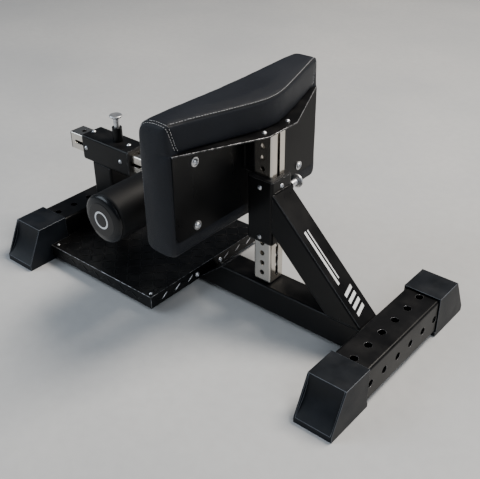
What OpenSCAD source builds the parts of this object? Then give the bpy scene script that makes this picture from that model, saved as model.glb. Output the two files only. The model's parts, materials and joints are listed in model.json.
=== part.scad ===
// Hip thrust bench. A low frame on rubber feet carries a back pad on a post
// whose height is set by a pull pin, and a pair of foam rollers on a bar whose
// reach is set by a second pull pin, above a tread-plate foot platform.
// Millimetres, +Z up. The origin is the footprint's centre on the floor, +X
// runs to the pad end, and the part is symmetric about Y = 0 but for its pull
// pins, side screws and the roller bar's slot.

/* [Cross tubes] */
// Distance between the centre lines of the two cross tubes
cross_pitch = 870; // [860:1:880]
// Length of a cross tube
cross_len = 410; // [400:2:420]
// Side of a cross tube
cross_side = 80; // [78:1:82]
// Wall of a cross tube
cross_wall = 3; // [2:0.5:4]
// Height of the frame's underside above the floor
ground_gap = 11; // [9:1:12]
// Diameter of the fixing holes
fix_hole_d = 17; // [13:0.5:18]
// Pitch of the fixing holes
fix_hole_pitch = 50; // [46:1:52]

/* [Rubber feet] */
// Rubber on each side of a cross tube
foot_wall = 3; // [2:0.5:4]
// Rubber over a cross tube
foot_roof = 5; // [3:0.5:6]
// Length of tube that a foot covers
foot_grip = 68; // [60:1:70]
// How far a foot's sole reaches past the tube's end
foot_reach = 50.7; // [40:0.1:55]
// How far a foot's top edge reaches past the tube's end
foot_top_reach = 10.5; // [8:0.5:14]

/* [Beams and sleeves] */
// Side of the rail, brace, front post and sleeves
beam_side = 65; // [64:0.5:66]
// Wall of the rail, brace, front post and sleeves
beam_wall = 4; // [3:0.5:4]
// Length of the front sleeve
front_sleeve_len = 157; // [150:1:165]
// Length of the upright sleeve
upright_sleeve_len = 144; // [140:1:150]
// Height of the upright sleeve's bottom edge
upright_sleeve_z = 187; // [185:1:190]

/* [Chrome tubes] */
// Side of the pad post and the roller bar
slider_side = 45; // [44:0.5:45]
// Wall of the pad post and the roller bar
slider_wall = 3; // [2:0.5:4]
// Pitch of the pin holes
pin_pitch = 25; // [20:1:25]
// Diameter of the pin holes
pin_hole_d = 12; // [11.8:0.1:13]
// Length of the pad post
post_len = 353; // [350:1:355]
// Length of the roller bar
bar_len = 379; // [377:1:385]
// Height of the roller bar's centre line
bar_z = 238; // [230:1:245]

/* [Foot platform] */
// Length of the platform
platform_len = 347; // [340:1:349]
// Width of the platform
platform_w = 378; // [370:2:380]
// Height of the platform's top
platform_top = 43; // [40:1:46]
// Thickness of the platform's sheet
platform_t = 3.5; // [2:0.5:4]

/* [Rollers] */
// Radius of a foam roller
roller_r = 54.7; // [50:0.1:55]
// Distance from the middle to a roller's inner end
roller_in = 40; // [40:1:42]
// Distance from the middle to a foam roller's outer end
foam_out = 230; // [225:1:232]
// Diameter of the roller axle
axle_d = 25; // [24:0.5:25]

/* [Back pad] */
// Distance from the origin to the pad post's centre line
upright_x = 131; // [130:0.5:132]
// Width of the cushion
pad_w = 468; // [466:1:472]
// Height of the cushion's bottom edge
pad_bottom = 212; // [208:1:214]
// Height of the cushion's top
pad_top = 499; // [490:1:500]
// Width of the steel plate behind the cushion
plate_w = 450; // [444:2:450]

/* [Hidden] */

// Facets of exact round features and of the small ones
arc_fn = 64;
small_fn = 32;
// Overshoot of a cut past the face that it opens
eps = 1;
// Overlap that joins two pieces of one solid
join = 0.01;

black = "#1c1d1f";
tread = "#2a2b2d";
rubber = "#141414";
vinyl = "#222326";
foam = "#1a1a1c";
chrome = "#c9ccd0";
steel = "#a9adb2";
plastic = "#101112";
plywood = "#b58b58";

// Cross tubes
cross_x = cross_pitch / 2;
cross_z = ground_gap + cross_side / 2;
cross_r = 6;
cross_inner_x = cross_x - cross_side / 2;
fix_hole_rows = [-2.5, -1.5, -0.5, 0.5, 1.5, 2.5];

// Rubber feet, seen along X
foot_w = cross_side + 2 * foot_wall;
foot_h = ground_gap + cross_side + foot_roof;
foot_in_y = cross_len / 2 - foot_grip;
foot_out_y = cross_len / 2 + foot_reach;
foot_lip = 3;
foot_edge_h = 14;
foot_rib = 3.5;
flare_fn = 128;
flare_top = [cross_len / 2 + foot_top_reach, foot_h];
flare_low = [foot_out_y, foot_edge_h];
flare_sag = 8;
flare_run = flare_low - flare_top;
flare_r = (pow(norm(flare_run) / 2, 2) + pow(flare_sag, 2)) / (2 * flare_sag);
flare_out = [-flare_run[1], flare_run[0]] / norm(flare_run);
flare_centre = (flare_top + flare_low) / 2 + flare_out * (flare_r - flare_sag);

// Rail, brace and sleeves
half = beam_side / 2;
beam_r = 6;
beam_inner_r = 2;
beam_bore = beam_side - 2 * beam_wall;
rail_top = ground_gap + beam_side;
rail_nose_h = 5;
rail_nose_run = 72;
brace_top_z = 305.5;
sleeve_x = upright_x + half;
post_rear_x = -cross_inner_x + beam_side;
front_sleeve_overhang = 27;
front_sleeve_x = -cross_inner_x - front_sleeve_overhang;
front_sleeve_end = front_sleeve_x + front_sleeve_len;
front_sleeve_z = bar_z - half;
upright_sleeve_top = upright_sleeve_z + upright_sleeve_len;
liner_len = 35;
collar_t = 3;
collar_inset = 1;
liner_gap = 0.3;

// Screws: head diameter, head height, shank diameter
set_screw = [11, 3, 6];
socket_d_share = 0.45;
socket_floor_share = 0.4;
set_screw_len = beam_wall;
stop_screw_len = 12;
screw_clear = 0.2;
front_screw_in = [7, 26];
bar_stop_in = 10;
upright_screw_in = [9, 18];
post_stop_in = 16.5;
front_screw_xs = [front_sleeve_x + front_screw_in[0], front_sleeve_end - front_screw_in[1]];
stop_screw_x = front_sleeve_x + bar_stop_in;
upright_screw_zs = [upright_sleeve_z + upright_screw_in[0], upright_sleeve_top - upright_screw_in[1]];
stop_screw_z = upright_sleeve_top - post_stop_in;

// Chrome tubes, the pull pins' places on the sleeves and the holes and slots on the tubes
slider_r = 4;
slider_inner_r = 1;
slider_half = slider_side / 2;
slot_w = 9;
post_z = 83;
post_top = post_z + post_len;
bar_x = -477;
bar_end = bar_x + bar_len;
reach_pin_in = 94;
height_pin_up = 89;
pin_x = front_sleeve_x + reach_pin_in;
pin_z = upright_sleeve_z + height_pin_up;
bar_holes = [-5:5];
post_holes = [-7:5];
bar_slot_in = [12, 93];
post_slot_in = 8;
bar_slot = [bar_x + bar_slot_in[0], bar_end - bar_slot_in[1]];
post_slot = [post_z + post_slot_in, post_top - post_slot_in];
plug_lip = 3;
plug_depth = 9;

// Pull pins: heights above the sleeve's face, and diameters
barrel_h = 36;
barrel_d = 24;
barrel_floor = 10;
barrel_roof = 4;
cavity_d = 19;
nose_d = 11.4;
nose_tip = -9.2;
nose_bevel = 2;
shoulder_z = 18.3;
shoulder_t = 3;
shoulder_d = 18.4;
shank_d = 14;
shank_end = 57.5;
stud_d = 8;
stud_len = 6;
knob_d = 31;
knob_h = 9;
knob_bevel_h = 5;
knob_edge = 1;
pin_clear = 0.8;
spring_d = 16.6;
spring_wire = 1.4;
spring_turns = 3;
spring_steps = 20;
spring_sides = 8;

// Foot platform
platform_x = -cross_inner_x;
platform_rear = platform_x + platform_len;
platform_low = ground_gap + 1;
platform_corner_in = 132;
platform_corner_gap = 3.5;
post_gap = 0.5;
spine_w = 100;
spine_wall = 3;
spine_plate = 6;
platform_bolt_y = 40;
platform_bolt_z = 26;
platform_bolt = [13, 5, 6];
corner_screw = [8, 2, 4];
corner_screw_in = 12;
corner_screw_tail = 4;

// Rollers, measured outwards from the middle
axle_from_end = 22.6;
roller_x = bar_end - axle_from_end;
core_d = 38;
core_bore = 32;
core_out = foam_out - 2;
cap_in_t = 4;
cap_in_d = 100;
bush_len = 20;
running_gap = 0.05;
foam_edge = 4;
cap_out_r = roller_r - 0.5;
cap_h = 11;
cap_disc_r = 39;
cap_disc_bevel = [1.5, 1];
cap_rim = [[0.8, 0], [0, 1.5], [1.2, 4.5], [5, 7.8]];
cap_cavity_r = 20;
cap_skin = 2;
axle_out = foam_out - 1;
axle_washer = [34, 2.5];
axle_screw = [18, 5, 8];
axle_screw_len = 25;
axle_tap_room = 2;
spacer_d = 34;
spacer_end = roller_in - 0.5;

// Back pad
plate_x = 79;
plate_t = 4;
plate_z = 253;
plate_r = 10;
flange_t = 3;
flange_z = post_top;
flange_top = flange_z + flange_t;
flange_x = 165;
flange_tip_w = 90;
board_t = 12;
board_w = 444;
board_z = 228;
pad_front = -2;
pad_top_r = 40;
pad_low_r = 22;
pad_end_r = 16;
pad_back = [[80, 215], [111, 126], [125, 84], [139.5, 28]];
pad_back_mid = 142;
spacer_w = 40;
spacer_wall = 3;
spacer_gap = 0.4;
spacer_z = upright_sleeve_top + collar_t + spacer_gap;
pad_bolt_y = 167;
pad_bolt_zs = [270, 408];
pad_bolt = [14, 5, 8];
pad_washer = [20, 1.6];
tee_flange = [20, 1.5];
tee_barrel_d = 10;
tee_len = 9;
flange_screw_at = [146, 37];
flange_screw = [11, 3.5, 6];
flange_nut = [10, 5];
flange_screw_len = 9;

// A rectangle with round corners, centred
module rounded_square(w, h, r) {
    square([w - 2 * r, h], center = true);
    square([w, h - 2 * r], center = true);
    for (x = [-1, 1], y = [-1, 1])
        translate([x * (w / 2 - r), y * (h / 2 - r)]) circle(r, $fn = small_fn);
}

// Outline of a square tube
module square_tube(side, wall, r, inner_r) {
    difference() {
        rounded_square(side, side, r);
        rounded_square(side - 2 * wall, side - 2 * wall, inner_r);
    }
}

module beam() square_tube(beam_side, beam_wall, beam_r, beam_inner_r);

module slider() square_tube(slider_side, slider_wall, slider_r, slider_inner_r);

// Extrude an outline between two places on an axis. Along X the outline's own
// axes become Y and Z, and along Y they become X and Z.
module along_x(from, to) {
    translate([from, 0, 0]) rotate([90, 0, 90]) linear_extrude(to - from) children();
}

module along_y(from, to) {
    translate([0, to, 0]) rotate([90, 0, 0]) linear_extrude(to - from) children();
}

module along_z(from, to) {
    translate([0, 0, from]) linear_extrude(to - from) children();
}

// Turn a shape built along +Z to point along another axis
module point_x(dir = 1) rotate([0, 90 * dir, 0]) children();

module point_y(dir = 1) rotate([-90 * dir, 0, 0]) children();

module box(low, high) translate(low) cube(high - low);

// A round bar, or the cut for one, from z0 to z1
module rod(d, z0, z1) {
    translate([0, 0, z0]) cylinder(d = d, h = z1 - z0, $fn = arc_fn);
}

module ring(d_out, d_in, z0, z1) {
    difference() {
        rod(d_out, z0, z1);
        rod(d_in, z0 - eps, z1 + eps);
    }
}

// A domed socket screw: head above z = 0, shank below. spec is [head d, head h, shank d].
module button_screw(spec, len) {
    head_r = spec[0] / 2;
    dome_r = (head_r * head_r + spec[1] * spec[1]) / (2 * spec[1]);
    socket_d = spec[0] * socket_d_share;
    difference() {
        intersection() {
            translate([0, 0, spec[1] - dome_r]) sphere(dome_r, $fn = arc_fn);
            rod(spec[0], 0, spec[1]);
        }
        translate([0, 0, spec[1] * socket_floor_share]) cylinder(d = socket_d, h = spec[1], $fn = 6);
    }
    rod(spec[2], -len, 0);
}

// ---- Base ----

// end is 1 for the rear tube and -1 for the front one
module cross_tube(end) {
    color(black) translate([end * cross_x, 0, cross_z]) difference() {
        along_y(-cross_len / 2, cross_len / 2)
            square_tube(cross_side, cross_wall, cross_r, cross_r - cross_wall);
        for (row = fix_hole_rows) {
            translate([0, row * fix_hole_pitch, 0]) rod(fix_hole_d, 0, cross_side);
            translate([0, row * fix_hole_pitch, 0]) point_x(end) rod(fix_hole_d, 0, cross_side);
        }
    }
}

module rear_cross_tube() cross_tube(1);

module front_cross_tube() cross_tube(-1);

// A foot's side view
module foot_outline() {
    polygon([
        [foot_in_y - foot_lip, 0], [foot_out_y, 0], flare_low, flare_top,
        [foot_in_y, foot_h], [foot_in_y, ground_gap], [foot_in_y - foot_lip, ground_gap]
    ]);
}

// side is 1 for the left foot (+Y) and -1 for the right one. The end face is
// hollowed between two straight ribs, and the pocket takes the tube's end.
module foot(end, side) {
    color(rubber) translate([end * cross_x, 0, 0]) rotate([0, 0, side > 0 ? 0 : 180]) difference() {
        along_x(-foot_w / 2, foot_w / 2) foot_outline();
        along_x(foot_rib - foot_w / 2, foot_w / 2 - foot_rib)
            translate(flare_centre) circle(flare_r, $fn = flare_fn);
        along_y(0, cross_len / 2) translate([0, cross_z]) rounded_square(cross_side, cross_side, cross_r);
    }
}

module rear_left_foot() foot(1, 1);

module rear_right_foot() foot(1, -1);

module front_left_foot() foot(-1, 1);

module front_right_foot() foot(-1, -1);

// The rail's side view between its mitred nose and the rear tube, less a margin
module rail_side(margin) {
    rise = beam_side - rail_nose_h;
    slant = margin * norm([rail_nose_run, rise]) / rise;
    nose = platform_rear + margin;
    nose_top = ground_gap + rail_nose_h + (margin - slant) * rise / rail_nose_run;
    polygon([
        [nose, ground_gap - eps], [nose, nose_top],
        [platform_rear + rail_nose_run + slant, rail_top],
        [platform_rear + rail_nose_run + slant, rail_top + eps],
        [cross_inner_x + margin, rail_top + eps], [cross_inner_x + margin, ground_gap - eps]
    ]);
}

module centre_rail() {
    color(black) difference() {
        intersection() {
            along_x(platform_rear, cross_inner_x)
                translate([0, ground_gap + half]) rounded_square(beam_side, beam_side, beam_r);
            along_y(-half, half) rail_side(0);
        }
        intersection() {
            along_x(platform_rear, cross_inner_x + eps)
                translate([0, ground_gap + half]) rounded_square(beam_bore, beam_bore, beam_inner_r);
            along_y(-half, half) rail_side(beam_wall);
        }
    }
}

// A flat box tube under the platform from the front post to the rear skirt
module platform_spine() {
    spine_top = platform_top - platform_t;
    spine_end = platform_rear - platform_t;
    color(black) difference() {
        box([post_rear_x, -spine_w / 2, platform_low], [spine_end, spine_w / 2, spine_top]);
        box(
            [post_rear_x - eps, -spine_w / 2 + spine_wall, platform_low + spine_wall],
            [spine_end - spine_plate, spine_w / 2 - spine_wall, spine_top - spine_wall]
        );
        for (side = [-1, 1])
            translate([spine_end, side * platform_bolt_y, platform_bolt_z])
                point_x() rod(platform_bolt[2], -spine_plate - eps, eps);
    }
}

// A folded sheet with skirts on three sides, notched round the front post
module foot_platform() {
    half_w = platform_w / 2;
    sheet_low = platform_top - platform_t;
    color(tread) difference() {
        box([platform_x, -half_w, platform_low], [platform_rear, half_w, platform_top]);
        box(
            [platform_x - eps, -half_w + platform_t, platform_low - eps],
            [platform_rear - platform_t, half_w - platform_t, sheet_low]
        );
        box(
            [platform_x - eps, -half - post_gap, sheet_low - eps],
            [post_rear_x + post_gap, half + post_gap, platform_top + eps]
        );
        for (side = [-1, 1]) {
            translate([0, side * half_w, 0])
                box(
                    [platform_x - eps, platform_corner_in - half_w, 0],
                    [platform_x + platform_corner_gap, half_w - platform_corner_in, platform_top + eps]
                );
            translate([platform_rear, side * platform_bolt_y, platform_bolt_z])
                point_x() rod(platform_bolt[2], -platform_t - eps, eps);
        }
        at_platform_corners() rod(corner_screw[2], -platform_t - eps, eps);
    }
}

module platform_bolts() {
    color(steel)
        for (side = [-1, 1])
            translate([platform_rear, side * platform_bolt_y, platform_bolt_z])
                point_x() button_screw(platform_bolt, platform_t + spine_plate);
}

module at_platform_corners() {
    front = platform_x + platform_corner_gap + corner_screw_in;
    for (x = [front, platform_rear - corner_screw_in], side = [-1, 1])
        translate([x, side * (platform_w / 2 - corner_screw_in), platform_top]) children();
}

module platform_corner_screws() {
    color(steel) at_platform_corners() button_screw(corner_screw, platform_t + corner_screw_tail);
}

// ---- Sleeves, liners and their screws ----

module front_post() {
    color(black) translate([post_rear_x - half, 0, 0]) {
        along_z(ground_gap, front_sleeve_z) beam();
        along_z(ground_gap, ground_gap + beam_wall) rounded_square(beam_bore, beam_bore, beam_inner_r);
    }
}

// Places of the screws on the front sleeve
module at_front_top_screws() {
    for (x = front_screw_xs)
        translate([x, 0, bar_z + half]) children();
}

module at_front_side_screw() translate([front_screw_xs[1], -half, bar_z]) point_y(-1) children();

module at_roller_stop() translate([stop_screw_x, -half, bar_z]) point_y(-1) children();

// Places of the screws on the upright sleeve
module at_upright_side_screws() {
    for (z = upright_screw_zs)
        translate([upright_x, -half, z]) point_y(-1) children();
}

module at_post_stop() translate([sleeve_x, 0, stop_screw_z]) point_x() children();

// Places of the pull pins, each pointing away from its sleeve's face
module at_reach_pin() translate([pin_x, 0, bar_z + half]) children();

module at_height_pin() translate([upright_x, half, pin_z]) point_y() children();

module screw_hole() rod(set_screw[2] + screw_clear, -stop_screw_len - eps, eps);

module pin_hole() rod(pin_hole_d + screw_clear, -beam_wall - eps, eps);

module wall_screw_hole() rod(set_screw[2] + screw_clear, -beam_wall - eps, eps);

module front_sleeve() {
    color(black) difference() {
        along_x(front_sleeve_x, front_sleeve_end) translate([0, bar_z]) beam();
        at_front_top_screws() wall_screw_hole();
        at_front_side_screw() wall_screw_hole();
        at_roller_stop() wall_screw_hole();
        at_reach_pin() pin_hole();
    }
}

module upright_sleeve() {
    color(black) difference() {
        along_z(upright_sleeve_z, upright_sleeve_top) translate([upright_x, 0]) beam();
        at_upright_side_screws() wall_screw_hole();
        at_post_stop() wall_screw_hole();
        at_height_pin() pin_hole();
    }
}

// A slide bush pushed into a sleeve's mouth, which is at z = 0 and faces +Z
module liner() {
    bore = slider_side + 2 * liner_gap;
    collar = beam_side - 2 * collar_inset;
    difference() {
        union() {
            along_z(-liner_len, 0) rounded_square(beam_bore, beam_bore, beam_inner_r);
            along_z(0, collar_t) rounded_square(collar, collar, beam_r - collar_inset);
        }
        along_z(-liner_len - eps, collar_t + eps) rounded_square(bore, bore, slider_r + liner_gap);
    }
}

module front_sleeve_front_liner() {
    color(plastic) difference() {
        translate([front_sleeve_x, 0, bar_z]) point_x(-1) liner();
        at_roller_stop() screw_hole();
    }
}

module front_sleeve_rear_liner() {
    color(plastic) translate([front_sleeve_end, 0, bar_z]) point_x() liner();
}

module upper_liner() {
    color(plastic) difference() {
        translate([upright_x, 0, upright_sleeve_top]) liner();
        at_post_stop() screw_hole();
    }
}

module lower_liner() {
    color(plastic) translate([upright_x, 0, upright_sleeve_z]) rotate([180, 0, 0]) liner();
}

module front_set_screws() {
    color(steel) {
        at_front_top_screws() button_screw(set_screw, set_screw_len);
        at_front_side_screw() button_screw(set_screw, set_screw_len);
    }
}

module upright_set_screws() {
    color(steel) at_upright_side_screws() button_screw(set_screw, set_screw_len);
}

module roller_stop_screw() {
    color(steel) at_roller_stop() button_screw(set_screw, stop_screw_len);
}

module post_stop_screw() {
    color(steel) at_post_stop() button_screw(set_screw, stop_screw_len);
}

// A sloping beam from the rail's top up to the upright sleeve
module upright_brace() {
    foot_x = sleeve_x + brace_top_z - rail_top;
    reach = foot_x + rail_top;
    color(black) intersection() {
        translate([foot_x, 0, rail_top]) rotate([0, 45, 0])
            along_x(-reach, reach) translate([0, -half]) beam();
        box([sleeve_x, -half, rail_top], [foot_x + eps, half, brace_top_z + eps]);
    }
}

// ---- Pull pins, built upwards from the sleeve's face ----

module pin_barrel() {
    difference() {
        rod(barrel_d, 0, barrel_h);
        rod(pin_hole_d + screw_clear, -eps, barrel_floor + eps);
        rod(cavity_d, barrel_floor, barrel_h - barrel_roof);
        rod(shank_d + pin_clear, barrel_h - barrel_roof - eps, barrel_h + eps);
    }
}

module pin_plunger() {
    translate([0, 0, nose_tip])
        cylinder(d1 = nose_d - 2 * nose_bevel, d2 = nose_d, h = nose_bevel, $fn = arc_fn);
    rod(nose_d, nose_tip + nose_bevel, shoulder_z);
    rod(shoulder_d, shoulder_z, shoulder_z + shoulder_t);
    rod(shank_d, shoulder_z + shoulder_t, shank_end);
    rod(stud_d, shank_end, shank_end + stud_len);
}

// A flat mushroom with a cone under it and a blind hole for the plunger's stud
module pin_knob() {
    difference() {
        translate([0, 0, shank_end]) rotate_extrude($fn = arc_fn) polygon([
            [0, 0], [shank_d / 2 + knob_edge, 0], [knob_d / 2 - knob_edge, knob_bevel_h - knob_edge],
            [knob_d / 2, knob_bevel_h], [knob_d / 2, knob_h - knob_edge],
            [knob_d / 2 - knob_edge, knob_h], [0, knob_h]
        ]);
        rod(stud_d, shank_end - eps, shank_end + stud_len);
    }
}

// Points of one ring of spring wire, and the joined rings as a closed sweep
function wire_ring(turn, z) = [
    for (side = [0:spring_sides - 1])
        let (a = 360 * side / spring_sides, r = spring_d / 2 + spring_wire / 2 * cos(a))
        [r * cos(360 * turn), r * sin(360 * turn), z + spring_wire / 2 * sin(a)]
];

module pin_spring() {
    low = shoulder_z + shoulder_t + spring_wire / 2;
    high = barrel_h - barrel_roof - spring_wire / 2;
    rings = spring_turns * spring_steps;
    last = rings * spring_sides;
    points = [
        for (i = [0:rings]) each wire_ring(i / spring_steps, low + (high - low) * i / rings)
    ];
    sides = [
        for (i = [0:rings - 1], s = [0:spring_sides - 1])
            let (a = i * spring_sides, n = (s + 1) % spring_sides)
            [a + s, a + spring_sides + s, a + spring_sides + n, a + n]
    ];
    low_end = [for (s = [0:spring_sides - 1]) s];
    high_end = [for (s = [spring_sides - 1:-1:0]) last + s];
    polyhedron(points, concat([low_end], sides, [high_end]), convexity = 8);
}

module reach_pin_barrel() color(black) at_reach_pin() pin_barrel();

module height_pin_barrel() color(black) at_height_pin() pin_barrel();

module reach_pin_spring() color(steel) at_reach_pin() pin_spring();

module height_pin_spring() color(steel) at_height_pin() pin_spring();

module reach_pin_plunger() color(steel) at_reach_pin() pin_plunger();

module height_pin_plunger() color(steel) at_height_pin() pin_plunger();

module reach_pin_knob() color(steel) at_reach_pin() pin_knob();

module height_pin_knob() color(steel) at_height_pin() pin_knob();

// ---- Pad carriage ----

// A slot with round ends, from a to b along the outline's second axis
module slot(a, b) {
    translate([-slot_w / 2, a + slot_w / 2]) square([slot_w, b - a - slot_w]);
    for (end = [a + slot_w / 2, b - slot_w / 2])
        translate([0, end]) circle(d = slot_w, $fn = small_fn);
}

module pad_post() {
    color(chrome) difference() {
        along_z(post_z, post_top) translate([upright_x, 0]) slider();
        for (k = post_holes)
            translate([upright_x, 0, pin_z + k * pin_pitch]) point_y() rod(pin_hole_d, -half, half);
        along_x(upright_x, upright_x + half) slot(post_slot[0], post_slot[1]);
    }
}

// A push-in end cap, with its lip from z = 0 to plug_lip and its stem below
module end_plug() {
    bore = slider_side - 2 * slider_wall;
    along_z(0, plug_lip) rounded_square(slider_side, slider_side, slider_r);
    along_z(-plug_depth, 0) rounded_square(bore, bore, slider_inner_r);
}

module post_bottom_plug() {
    color(plastic) translate([upright_x, 0, post_z]) rotate([180, 0, 0]) end_plug();
}

module at_pad_bolts() {
    for (side = [-1, 1], z = pad_bolt_zs)
        translate([plate_x + plate_t, side * pad_bolt_y, z]) point_x() children();
}

module at_flange_screws() {
    for (side = [-1, 1])
        translate([flange_screw_at[0], side * flange_screw_at[1], flange_top]) children();
}

// The back plate, with the pad's shelf folded out at its top
module pad_plate() {
    color(black) difference() {
        union() {
            along_x(plate_x, plate_x + plate_t) {
                translate([-plate_w / 2, plate_z + plate_r])
                    square([plate_w, flange_top - plate_z - plate_r]);
                translate([-plate_w / 2 + plate_r, plate_z]) square([plate_w - 2 * plate_r, plate_r]);
                for (side = [-1, 1])
                    translate([side * (plate_w / 2 - plate_r), plate_z + plate_r])
                        circle(plate_r, $fn = small_fn);
            }
            along_z(flange_z, flange_top) polygon([
                [plate_x, -plate_w / 2], [plate_x + plate_t, -plate_w / 2], [flange_x, -flange_tip_w / 2],
                [flange_x, flange_tip_w / 2], [plate_x + plate_t, plate_w / 2], [plate_x, plate_w / 2]
            ]);
        }
        at_pad_bolts() rod(pad_bolt[2] + screw_clear, -plate_t - eps, eps);
        at_flange_screws() rod(flange_screw[2] + screw_clear, -flange_t - eps, eps);
    }
}

// A box tube that holds the post off the plate and stops the pad on the sleeve
module pad_spacer() {
    front = plate_x + plate_t;
    back = upright_x - slider_half;
    color(black) difference() {
        box([front, -spacer_w / 2, spacer_z], [back, spacer_w / 2, flange_z]);
        box(
            [front + spacer_wall, -spacer_w / 2 + spacer_wall, spacer_z - eps],
            [back - spacer_wall, spacer_w / 2 - spacer_wall, flange_z + eps]
        );
    }
}

module board_space() {
    along_x(plate_x - board_t, plate_x)
        translate([0, (board_z + flange_z) / 2]) rounded_square(board_w, flange_z - board_z, plate_r);
}

module pad_board() {
    color(plywood) difference() {
        board_space();
        at_pad_bolts() {
            rod(tee_barrel_d, -plate_t - board_t - eps, eps);
            rod(tee_flange[0], -plate_t - board_t - eps, -plate_t - board_t + tee_flange[1]);
        }
    }
}

// The cushion from above: square to the plate below the shelf, bowed back over it
module pad_plan() {
    polygon([
        [pad_front, pad_w / 2], [plate_x - pad_end_r, pad_w / 2],
        for (p = pad_back) p,
        [pad_back_mid, 0],
        for (i = [len(pad_back) - 1:-1:0]) [pad_back[i][0], -pad_back[i][1]],
        [plate_x - pad_end_r, -pad_w / 2], [pad_front, -pad_w / 2]
    ]);
}

// What is cut from a corner at the origin to leave it round, inside the first quadrant
module corner_cut(r) {
    difference() {
        translate([-eps, -eps]) square([r + eps, r + eps]);
        translate([r, r]) circle(r, $fn = arc_fn);
    }
}

module pad_cushion() {
    color(vinyl) difference() {
        union() {
            along_y(-pad_w / 2, pad_w / 2)
                translate([pad_front, pad_bottom]) square([plate_x - pad_front, pad_top - pad_bottom]);
            along_z(flange_top, pad_top) pad_plan();
        }
        along_y(-pad_w, pad_w) {
            translate([pad_front, pad_top]) mirror([0, 1]) corner_cut(pad_top_r);
            translate([pad_front, pad_bottom]) corner_cut(pad_low_r);
            translate([plate_x, pad_bottom]) mirror([1, 0]) corner_cut(pad_low_r / 2);
        }
        board_space();
    }
}

module pad_bolts() {
    color(steel) at_pad_bolts() translate([0, 0, pad_washer[1]])
        button_screw(pad_bolt, pad_washer[1] + plate_t + board_t - tee_flange[1]);
}

module pad_washers() {
    color(steel) at_pad_bolts() ring(pad_washer[0], pad_bolt[2] + screw_clear, 0, pad_washer[1]);
}

// Flanged nuts let into the front of the board
module pad_tee_nuts() {
    front = -plate_t - board_t;
    color(steel) at_pad_bolts() {
        ring(tee_flange[0], pad_bolt[2] + screw_clear, front, front + tee_flange[1]);
        ring(tee_barrel_d, pad_bolt[2] + screw_clear, front + tee_flange[1] - join, front + tee_len);
    }
}

module flange_screws() {
    color(steel) at_flange_screws() {
        button_screw(flange_screw, flange_screw_len);
        ring(flange_nut[0], flange_screw[2] - join, -flange_t - flange_nut[1], -flange_t);
    }
}

// ---- Roller carriage ----

module roller_bar() {
    color(chrome) difference() {
        along_x(bar_x, bar_end) translate([0, bar_z]) slider();
        for (k = bar_holes)
            translate([pin_x + k * pin_pitch, 0, bar_z]) rod(pin_hole_d, -half, half);
        translate([roller_x, 0, bar_z]) point_y() rod(axle_d + screw_clear, -half, half);
        along_y(-half, 0) translate([0, bar_z]) rotate(-90) slot(bar_slot[0], bar_slot[1]);
    }
}

module roller_bar_front_plug() {
    color(plastic) translate([bar_x, 0, bar_z]) point_x(-1) end_plug();
}

module roller_bar_rear_plug() {
    color(plastic) translate([bar_end, 0, bar_z]) point_x() end_plug();
}

// Roller parts are built outwards from the middle. side is 1 for +Y and -1 for -Y.
module on_axle(side) translate([roller_x, 0, bar_z]) point_y(side) children();

module roller_axle() {
    color(steel) difference() {
        on_axle(1) rod(axle_d, -axle_out, axle_out);
        for (side = [-1, 1])
            on_axle(side) rod(axle_screw[2], axle_out - axle_screw_len - axle_tap_room, axle_out + eps);
    }
}

module axle_spacers() {
    color(steel)
        for (side = [-1, 1])
            on_axle(side) ring(spacer_d, axle_d + screw_clear, slider_half, spacer_end);
}

module axle_washers() {
    color(steel)
        for (side = [-1, 1])
            on_axle(side) translate([0, 0, axle_out])
                ring(axle_washer[0], axle_screw[2] + screw_clear, 0, axle_washer[1]);
}

module axle_screws() {
    color(steel)
        for (side = [-1, 1])
            on_axle(side) translate([0, 0, axle_out + axle_washer[1]])
                button_screw(axle_screw, axle_screw_len);
}

module roller_foam(side) {
    low = roller_in + cap_in_t;
    core_r = core_d / 2;
    color(foam) on_axle(side) rotate_extrude($fn = arc_fn) {
        translate([core_r, low]) square([roller_r - core_r - foam_edge, foam_out - low]);
        translate([core_r, low + foam_edge]) square([roller_r - core_r, foam_out - low - 2 * foam_edge]);
        for (z = [low + foam_edge, foam_out - foam_edge])
            translate([roller_r - foam_edge, z]) circle(foam_edge, $fn = small_fn);
    }
}

module roller_core(side) {
    color(plastic) on_axle(side) ring(core_d, core_bore, roller_in + cap_in_t, core_out);
}

module roller_bushes(side) {
    color(plastic) on_axle(side) {
        ring(core_bore, axle_d + 2 * running_gap, roller_in + cap_in_t, roller_in + cap_in_t + bush_len);
        ring(core_bore, axle_d + 2 * running_gap, core_out - bush_len, core_out);
    }
}

// A domed cap with a flat disc, hollow over the axle's screw
module roller_outer_cap(side) {
    top = foam_out + cap_h;
    color(plastic) on_axle(side) rotate_extrude($fn = arc_fn) polygon([
        [0, top - cap_skin], [cap_cavity_r, top - cap_skin], [cap_cavity_r, foam_out],
        for (p = cap_rim) [cap_out_r - p[0], foam_out + p[1]],
        [cap_disc_r + cap_disc_bevel[0], top - cap_disc_bevel[1]], [cap_disc_r, top], [0, top]
    ]);
}

module roller_inner_cap(side) {
    color(plastic) on_axle(side)
        ring(cap_in_d, axle_d + 2 * liner_gap, roller_in, roller_in + cap_in_t);
}

module left_roller_foam() roller_foam(1);

module left_roller_core() roller_core(1);

module left_roller_bushes() roller_bushes(1);

module left_roller_outer_cap() roller_outer_cap(1);

module left_roller_inner_cap() roller_inner_cap(1);

module right_roller_foam() roller_foam(-1);

module right_roller_core() roller_core(-1);

module right_roller_bushes() roller_bushes(-1);

module right_roller_outer_cap() roller_outer_cap(-1);

module right_roller_inner_cap() roller_inner_cap(-1);

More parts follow.
